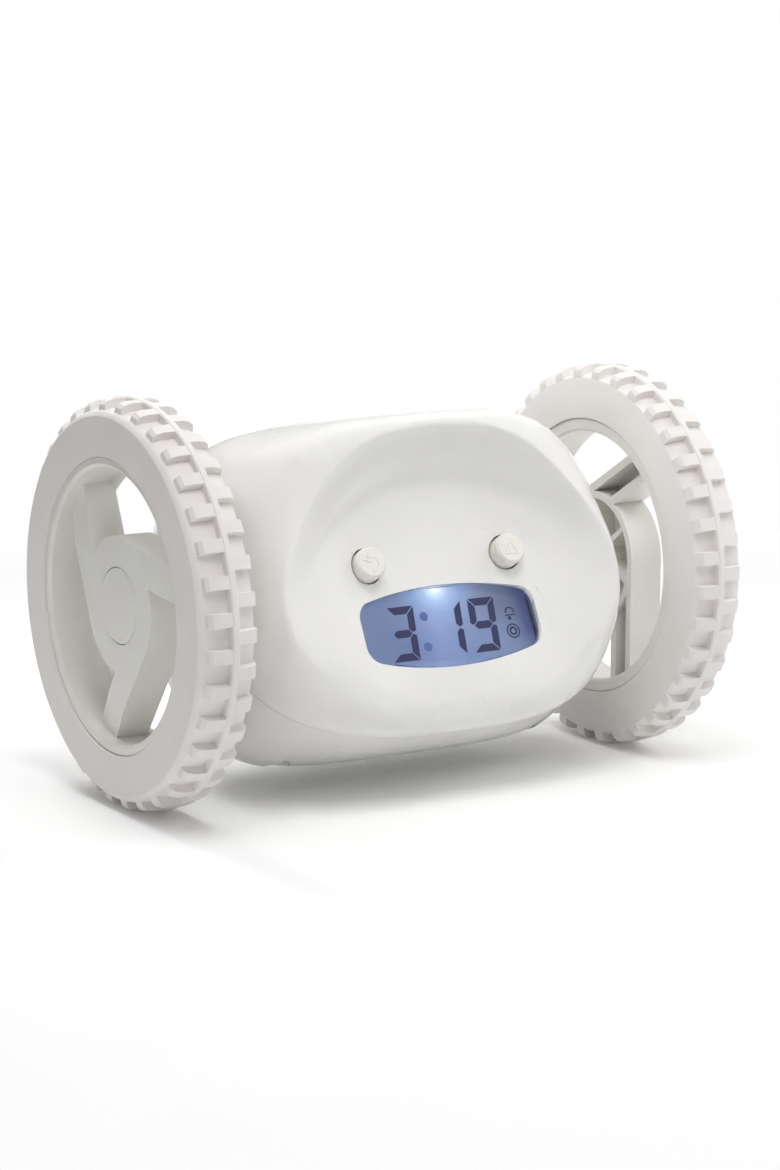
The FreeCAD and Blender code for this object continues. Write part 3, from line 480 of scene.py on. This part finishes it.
# %% [markdown]
# ## Softer edges on the moulded wheel pieces
# A mould never leaves a knife edge: the tyres, the inserts and the hub caps all catch a thin line
# of light along their rims. The edges could be rounded one by one, but flat neighbours are easily
# dissolved, and a bevel modifier then rounds everything that is sharper than a set angle.

# %% Rounded wheels
FLAT_ENOUGH = math.radians(0.6)
SHARP_EDGE = math.radians(28)
ROUNDING_STEPS = 2


def rounded_copy(name, width_mm):
    """A copy whose sharp edges are rounded by a bevel modifier."""
    shape = merged_shape(name)
    bmesh.ops.dissolve_limit(shape, angle_limit=FLAT_ENOUGH, verts=shape.verts, edges=shape.edges)
    piece = show_copy(name, "_rounded", shape)
    bevel = piece.modifiers.new("soft_edges", "BEVEL")
    bevel.width = width_mm * MM
    bevel.segments = ROUNDING_STEPS
    bevel.limit_method = "ANGLE"
    bevel.angle_limit = SHARP_EDGE
    bevel.use_clamp_overlap = True
    bevel.harden_normals = True
    return piece


for side in ("left", "right"):
    for ending, width in (("tyre", 0.3), ("wheel_insert", 0.35), ("hub_cap", 0.2)):
        piece = rounded_copy(side + "_" + ending, width)
        print(piece.name, len(piece.data.polygons), "faces before rounding")

# %% [markdown]
# ## An evenly flowing housing
# Polished steel moulds leave no line where one curve runs into the next. The front shell is shown
# by a copy whose open surfaces are smoothed a little at a time, while everything close to a crisp
# edge or a hole stays in place. A smoothing modifier would do the same with a vertex group, but the
# bmesh operator takes the free corners as they are. A tree of the crisp edges' corners finds the
# nearest one quickly.

# %% Evened shell
CRISP_EDGE = math.radians(32)
CRISP_MARGIN = 2.8 * MM
SLIVER = 0.03 * MM
SLIVER_AREA = SLIVER * MM
ALONG_SURFACE = 0.5           # how far off the surface a neighbour may lie, as a part of its distance
SMOOTHING_ROUNDS = 60


def beside_edge(corner, crisp_points):
    """Whether a crisp edge runs close by on the same surface; one behind the wall doesn't count."""
    point, _, distance = crisp_points.find(corner.co)
    offset = point - corner.co
    return distance < CRISP_MARGIN and abs(offset.dot(corner.normal)) <= ALONG_SURFACE * distance


def is_crisp(edge):
    """Whether an edge is open or sharp, slivers aside."""
    if not edge.is_manifold:
        return True
    smallest = min(face.calc_area() for face in edge.link_faces)
    return edge.calc_face_angle() > CRISP_EDGE and smallest > SLIVER_AREA


def evened_copy(name):
    """A copy whose open surfaces are smoothed."""
    shape = merged_shape(name)
    bmesh.ops.dissolve_degenerate(shape, edges=shape.edges, dist=SLIVER)
    crisp = [edge for edge in shape.edges if is_crisp(edge)]
    for edge in shape.edges:
        edge.smooth = True
    for edge in crisp:
        edge.smooth = False
    held = {corner for edge in crisp for corner in edge.verts}
    crisp_points = KDTree(len(held))
    for k, corner in enumerate(corner for corner in shape.verts if corner in held):
        crisp_points.insert(corner.co, k)
    crisp_points.balance()
    free = [corner for corner in shape.verts if not beside_edge(corner, crisp_points)]
    for _ in range(SMOOTHING_ROUNDS):
        bmesh.ops.smooth_vert(
            shape, verts=free, factor=0.5, use_axis_x=True, use_axis_y=True, use_axis_z=True)
    print(name, len(free), "of", len(shape.verts), "corners smoothed")
    show_copy(name, "_evened", shape)


evened_copy("front_shell")

# %% [markdown]
# ## The window pane
# The pane fills its opening and ends level with the face, so no wall of the opening shows round it.
# It is a rounded copy too, with the corners of its front moved out.

# %% Window pane
PANE_BEHIND_FRONT = -1.3      # millimetres out of the face: the pane's front lies just above this
PANE_RAISE = 1.1

pane = rounded_copy("display_lens", 0.3)
for corner in pane.data.vertices:
    if (corner.co - FACE_ORIGIN).dot(FACE_OUT) > PANE_BEHIND_FRONT * MM:
        corner.co += FACE_OUT * (PANE_RAISE * MM)
print("the pane's front is raised by", PANE_RAISE, "mm")

# %% [markdown]
# ## Flat plates on the face
# What the display shows is a thin dark layer in the cell, and the buttons' signs are hardly
# thicker. All of them are drawn flat in the plane of the face, from a few corners in millimetres,
# and then extruded by a hair, so that each is a closed shape that lies on its ground.

# %% Flat plates
FIGURE_OUT = -3.19            # the figures lie on the crystal's front
FIGURE_THICKNESS = 0.03


def thicken(shape, faces, thickness):
    """Raise flat faces out of the face plane, with walls round them."""
    raised = bmesh.ops.extrude_face_region(shape, geom=faces)["geom"]
    top = [corner for corner in raised if isinstance(corner, bmesh.types.BMVert)]
    bmesh.ops.translate(shape, verts=top, vec=FACE_OUT * (thickness * MM))


def plate(shape, corners, out=FIGURE_OUT, thickness=FIGURE_THICKNESS):
    """A thin flat plate in the face plane, from its corners in millimetres."""
    low = [shape.verts.new(face_point(x, up, out)) for x, up in corners]
    thicken(shape, [shape.faces.new(low)], thickness)


def flat_piece(name, shape, material, body="housing"):
    """Turn a finished bmesh into a piece that rides on a body."""
    bmesh.ops.recalc_face_normals(shape, faces=shape.faces)
    mesh = bpy.data.meshes.new(name)
    shape.to_mesh(mesh)
    shape.free()
    mesh.materials.append(material)
    piece = bpy.data.objects.new(name, mesh)
    bpy.context.collection.objects.link(piece)
    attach(piece, body)
    print(name, len(mesh.polygons), "faces")


print("plates are", FIGURE_THICKNESS, "mm thick")

# %% [markdown]
# ## Figures on the display
# A seven-segment figure is a handful of bars with slanted ends, parted by thin gaps. A text object
# would bring a typeface of its own, so each bar is a plate that follows from the figure's height,
# width and line. The figures lean a few degrees, as such displays do.

# %% Segments
FIGURE_HEIGHT = 12.05         # in millimetres, as everything on the face
FIGURE_WIDTH = 6.6
BAR = 1.7
BAR_GAP = 0.15
FIGURE_LEAN = math.tan(math.radians(6.5))
FIGURE_MIDDLE_UP = -0.85
FIGURES = (("3", -10.75), ("1", 1.0), ("9", 9.5))  # each with its middle across the face
SEGMENTS_OF = {"3": "abgcd", "1": "bc", "9": "abcdfg"}


def segment_corners(letter):
    """Corners of one bar of a figure whose middle is at 0, 0, before it leans."""
    w, h, b, g = FIGURE_WIDTH / 2, FIGURE_HEIGHT / 2, BAR, BAR_GAP
    level = {
        "a": [(-w + g, h), (w - g, h), (w - b - g, h - b), (-w + b + g, h - b)],
        "d": [(-w + g, -h), (-w + b + g, -h + b), (w - b - g, -h + b), (w - g, -h)],
        "g": [
            (-w + b / 2 + g, 0), (-w + b + g, b / 2), (w - b - g, b / 2),
            (w - b / 2 - g, 0), (w - b - g, -b / 2), (-w + b + g, -b / 2),
        ],
        "b": [(w, h - g), (w, b / 4 + g), (w - b / 2, g), (w - b, b / 2 + g), (w - b, h - b - g)],
        "c": [(w, -h + g), (w - b, -h + b + g), (w - b, -b / 2 - g), (w - b / 2, -g), (w, -b / 4 - g)],
    }
    if letter == "f":
        return [(-x, up) for x, up in reversed(level["b"])]
    return level[letter]


def figure(shape, digit, middle_x):
    """One figure: its bars, leaning and in place."""
    for letter in SEGMENTS_OF[digit]:
        corners = segment_corners(letter)
        plate(shape, [(middle_x + x + up * FIGURE_LEAN, FIGURE_MIDDLE_UP + up) for x, up in corners])


figures = bmesh.new()
for digit, middle_x in FIGURES:
    figure(figures, digit, middle_x)
flat_piece("time_figures", figures, dark_ink)

# %% [markdown]
# ## Discs and rings
# The other signs are round. A disc is a cone with equal ends, laid on the face by a matrix. A ring
# is one short edge spun about the ring's middle, which makes a clean strip of faces in one step and
# also gives part of a ring.

# %% Discs and rings
DISC_CORNERS = 24


def face_turn(x, up, out):
    """Matrix that places a shape drawn flat in XY on the face."""
    turn = Matrix((Vector((1, 0, 0)), FACE_UP, FACE_OUT)).transposed().to_4x4()
    return Matrix.Translation(face_point(x, up, out)) @ turn


def disc(shape, x, up, radius):
    """A thin round plate."""
    bmesh.ops.create_cone(
        shape, cap_ends=True, segments=DISC_CORNERS, radius1=radius * MM, radius2=radius * MM,
        depth=FIGURE_THICKNESS * MM, matrix=face_turn(x, up, FIGURE_OUT + FIGURE_THICKNESS / 2))


def ring(shape, x, up, radius, width, start=0.0, turn=360.0, steps=32,
         out=FIGURE_OUT, thickness=FIGURE_THICKNESS):
    """A flat ring or part of one: an edge across its width, spun about its middle."""
    there = set(shape.faces)
    angle = math.radians(start)
    ends = [
        shape.verts.new(face_point(x + r * math.cos(angle), up + r * math.sin(angle), out))
        for r in (radius - width / 2, radius + width / 2)]
    across = shape.edges.new(ends)
    bmesh.ops.spin(
        shape, geom=ends + [across], cent=face_point(x, up, out), axis=FACE_OUT,
        angle=math.radians(turn), steps=steps, use_merge=turn == 360.0)
    thicken(shape, [face for face in shape.faces if face not in there], thickness)


print("discs have", DISC_CORNERS, "corners")

# %% [markdown]
# ## Colon and status signs
# The colon's dots are paler than the figures. A small bell and a double ring at the right say that
# the alarm is set. They are made of the same discs, rings and plates.

# %% Colon and signs
COLON_DOTS = ((-4.75, 2.45), (-5.55, -4.25))
COLON_RADIUS = 1.02
SIGN_RINGS = (  # across, up, radius, line, and start and turn in degrees
    (16.4, -3.0, 1.5, 0.34, 0.0, 360.0),
    (16.4, -3.0, 0.75, 0.5, 0.0, 360.0),
    (16.7, 1.3, 1.0, 0.38, -10.0, 200.0),
)
CLAPPER = (16.3, -0.1, 0.45)
BELL_BRIM = [(15.4, 0.45), (18.0, 0.45), (18.0, 0.77), (15.4, 0.77)]

colon = bmesh.new()
for x, up in COLON_DOTS:
    disc(colon, x, up, COLON_RADIUS)
flat_piece("colon_dots", colon, colon_ink)

signs = bmesh.new()
for shape_of_ring in SIGN_RINGS:
    ring(signs, *shape_of_ring)
disc(signs, *CLAPPER)
plate(signs, BELL_BRIM)
flat_piece("alarm_signs", signs, icon_ink)

# %% [markdown]
# ## Signs on the buttons
# Each face button carries a faint raised sign of the same plastic, a turned arrow on the left one
# and an open arrowhead on the right one. They stand up by a tenth of a millimetre and only show by
# their shading. The arrowhead is one triangle, inset by the width of its line, with its middle
# taken out.

# %% Button signs
MARK_OUT = 4.15               # just inside the buttons' tops
MARK_THICKNESS = 0.16
ARROW_BOW = (-17.4, 13.5, 1.6, 0.55, -100.0, 250.0, 20)  # as the rings above, and its steps
ARROW_POINT = [(-19.9, 14.5), (-18.0, 16.0), (-17.6, 13.7)]
ARROWHEAD = [(15.5, 12.5), (19.5, 12.3), (17.6, 15.9)]
ARROWHEAD_LINE = 0.53

turned_arrow = bmesh.new()
ring(turned_arrow, *ARROW_BOW, MARK_OUT, MARK_THICKNESS)
plate(turned_arrow, ARROW_POINT, MARK_OUT, MARK_THICKNESS)
flat_piece("left_button_sign", turned_arrow, button_abs, "left_button_body")

arrowhead = bmesh.new()
middle = arrowhead.faces.new([arrowhead.verts.new(face_point(x, up, MARK_OUT)) for x, up in ARROWHEAD])
arrowhead.normal_update()
rim = bmesh.ops.inset_individual(
    arrowhead, faces=[middle], thickness=ARROWHEAD_LINE * MM, use_even_offset=True)["faces"]
bmesh.ops.delete(arrowhead, geom=[middle], context="FACES_ONLY")
thicken(arrowhead, rim, MARK_THICKNESS)
flat_piece("right_button_sign", arrowhead, button_abs, "right_button_body")

# %% [markdown]
# ## Telling rays apart
# A white clock on show stands on plain white, but enough light for that would bleach the clock too.
# The Light Path node tells what a ray is for, so paper and room can be one thing to look at and
# another as light.

# %% Ray helpers
DUSK = 0.1                    # brightness of the dim part of the room
WHITE = linear("#ffffff")


def greater(owner, first, second):
    """The greater of two values."""
    return add(owner, "Math", {"operation": "MAXIMUM"}, {0: first, 1: second}).outputs[0]


def looked_at(owner):
    """1 for rays that look, also mirrored or through clear pieces, 0 for light on the clock."""
    rays = add(owner, "LightPath").outputs
    seen = greater(owner, rays["Is Camera Ray"], rays["Is Glossy Ray"])
    return greater(owner, seen, rays["Is Transmission Ray"])


def mixed(owner, factor, first, second):
    """One shader fading into another."""
    return add(owner, "MixShader", links={"Fac": factor, 1: first, 2: second}).outputs["Shader"]


def flat_white(material, strength):
    """White that glows by itself."""
    return add(material, "Emission", {"Color": WHITE, "Strength": strength}).outputs["Emission"]


print("ray helpers ready")

# %% [markdown]
# ## The paper floor
# The clock stands on white paper. The paper is lifted a little where it is looked at, so that it is
# plain white wherever nothing shades it, and further out it turns into a flat white that no lamp
# can tint. Both are only for rays that look: as light on the clock it stays ordinary paper. In the
# glossy housing the paper would mirror as one white sheet, so mirrored paper ends in a dim room
# before the clock and behind its left wheel. From below the floor is clear, so that the underside
# can be seen.

# %% Floor
FLOOR_SIZE = 6.0              # metres from the middle to the edge
FLOOR_SPECKS = 40.0           # noise cells to a metre, each as wide as a thumb
FLOOR_LIFT = 0.09             # added to the paper where it is looked at
PAPER_NEAR = 0.12             # metres from the clock at which the paper begins to turn plain white
PAPER_FAR = 0.34
PAPER_FRONT = 0.2             # metres before and behind the clock at which mirrored paper ends
PAPER_BACK = 0.14
PAPER_FADE = 0.05
PAPER_LEFT = (-0.15, 0.0)     # behind, it ends only on this side


def studio_floor():
    """White paper that is plain white where it is looked at, and clear from below."""
    m = new_material("studio_floor")
    place = add(m, "TexCoord").outputs["Object"]
    speck = add(m, "TexNoise", {"Scale": FLOOR_SPECKS}, {"Vector": place})
    tone = ramp(m, speck.outputs["Fac"], ((0.3, "#f7f7f7"), (0.7, "#f9f9f9")))
    paper = add(m, "BsdfDiffuse", links={"Color": tone}).outputs["BSDF"]
    lifted = add(m, "AddShader", links={0: paper, 1: flat_white(m, FLOOR_LIFT)}).outputs["Shader"]
    away = add(m, "VectorMath", {"operation": "LENGTH"}, {0: place}).outputs["Value"]
    spread = mixed(m, between(m, away, PAPER_NEAR, PAPER_FAR), lifted, flat_white(m, 1.0))
    shown = mixed(m, looked_at(m), paper, spread)

    spot = add(m, "SeparateXYZ", links={"Vector": place}).outputs
    front = between(m, spot["Y"], -PAPER_FRONT, PAPER_FADE - PAPER_FRONT, 1.0, 0.0)
    behind = between(m, spot["Y"], PAPER_BACK, PAPER_BACK + 4 * PAPER_FADE)
    back = times(m, behind, between(m, spot["X"], *PAPER_LEFT, 1.0, 0.0))
    mirrored = times(m, add(m, "LightPath").outputs["Is Glossy Ray"], greater(m, front, back))
    ended = mixed(m, mirrored, shown, flat_white(m, DUSK))

    clear = add(m, "BsdfTransparent").outputs["BSDF"]
    return finish_material(m, mixed(m, add(m, "NewGeometry").outputs["Backfacing"], ended, clear))


floor_shape = bmesh.new()
bmesh.ops.create_grid(floor_shape, x_segments=2, y_segments=2, size=FLOOR_SIZE)
floor_mesh = bpy.data.meshes.new("floor")
floor_shape.to_mesh(floor_mesh)
floor_shape.free()
floor_mesh.materials.append(studio_floor())
floor = bpy.data.objects.new("floor", floor_mesh)
bpy.context.collection.objects.link(floor)
print("floor", 2 * FLOOR_SIZE, "metres wide")

# %% [markdown]
# ## The white room
# The world is a white room. Looked at it is plain white, so that the backdrop needs no wall. As
# light it is a low, even fill. Mirrored, it is dim on the far left, which gives the housing the
# soft grey edge that tells its form.

# %% Room
ROOM_LIGHT = 0.29             # strength of the even fill
DIM_SIDE = (-0.4, 0.9, 0.15)  # where the mirrored room is dim
DIM_FROM, DIM_TO = 0.3, 0.9   # how near to that direction


def white_room():
    """A world that is white to look at, dim on one side when mirrored, and a soft fill as light."""
    world = bpy.data.worlds.new("studio")
    world.use_nodes = True
    world.node_tree.nodes.clear()
    room = add(world, "Background", {"Color": WHITE, "Strength": ROOM_LIGHT}).outputs["Background"]
    toward = add(world, "TexCoord").outputs["Generated"]
    facing = add(world, "VectorMath", {"operation": "DOT_PRODUCT", 1: DIM_SIDE}, {0: toward})
    dim_side = between(world, facing.outputs["Value"], DIM_FROM, DIM_TO)
    mirrored = times(world, add(world, "LightPath").outputs["Is Glossy Ray"], dim_side)
    strength = between(world, mirrored, 0.0, 1.0, 1.0, DUSK)
    plain = add(world, "Background", {"Color": WHITE}, {"Strength": strength}).outputs["Background"]
    add(world, "OutputWorld", links={"Surface": mixed(world, looked_at(world), room, plain)})
    bpy.context.scene.world = world


white_room()
print("room light", ROOM_LIGHT)

# %% [markdown]
# ## Four lamps
# A big softbox above the front is the main light. A weaker one from the right, a low one over the
# table's right side and a small one from behind shape the shadows. None of them is mirrored in the
# clock, because gloss that shows square lamps would cover the display. Their level keeps the white
# plastic below clipping.

# %% Lamps
AXLE_MIDDLE = (0.0, 0.0, 0.045)
LAMPS = (  # name, place, what it looks at, side in metres, watts
    ("front_softbox", (-0.08, -0.2, 0.5), AXLE_MIDDLE, 0.3, 1.3),
    ("right_softbox", (0.28, 0.05, 0.5), AXLE_MIDDLE, 0.3, 0.28),
    ("right_table_lamp", (0.3, -0.15, 0.25), (0.3, -0.149, 0.0), 0.25, 0.6),
    ("back_lamp", (-0.06, 0.2, 0.28), (0.08, 0.0, 0.08), 0.12, 0.46),
)

for name, at, aim, size, watts in LAMPS:
    lamp = bpy.data.lights.new(name, "AREA")
    lamp.shape = "SQUARE"
    lamp.size = size
    lamp.energy = watts
    holder = bpy.data.objects.new(name, lamp)
    holder.location = at
    holder.rotation_euler = (Vector(aim) - Vector(at)).to_track_quat("-Z", "Y").to_euler()
    holder.visible_glossy = False
    bpy.context.collection.objects.link(holder)
print("studio lit by", len(LAMPS), "lamps")
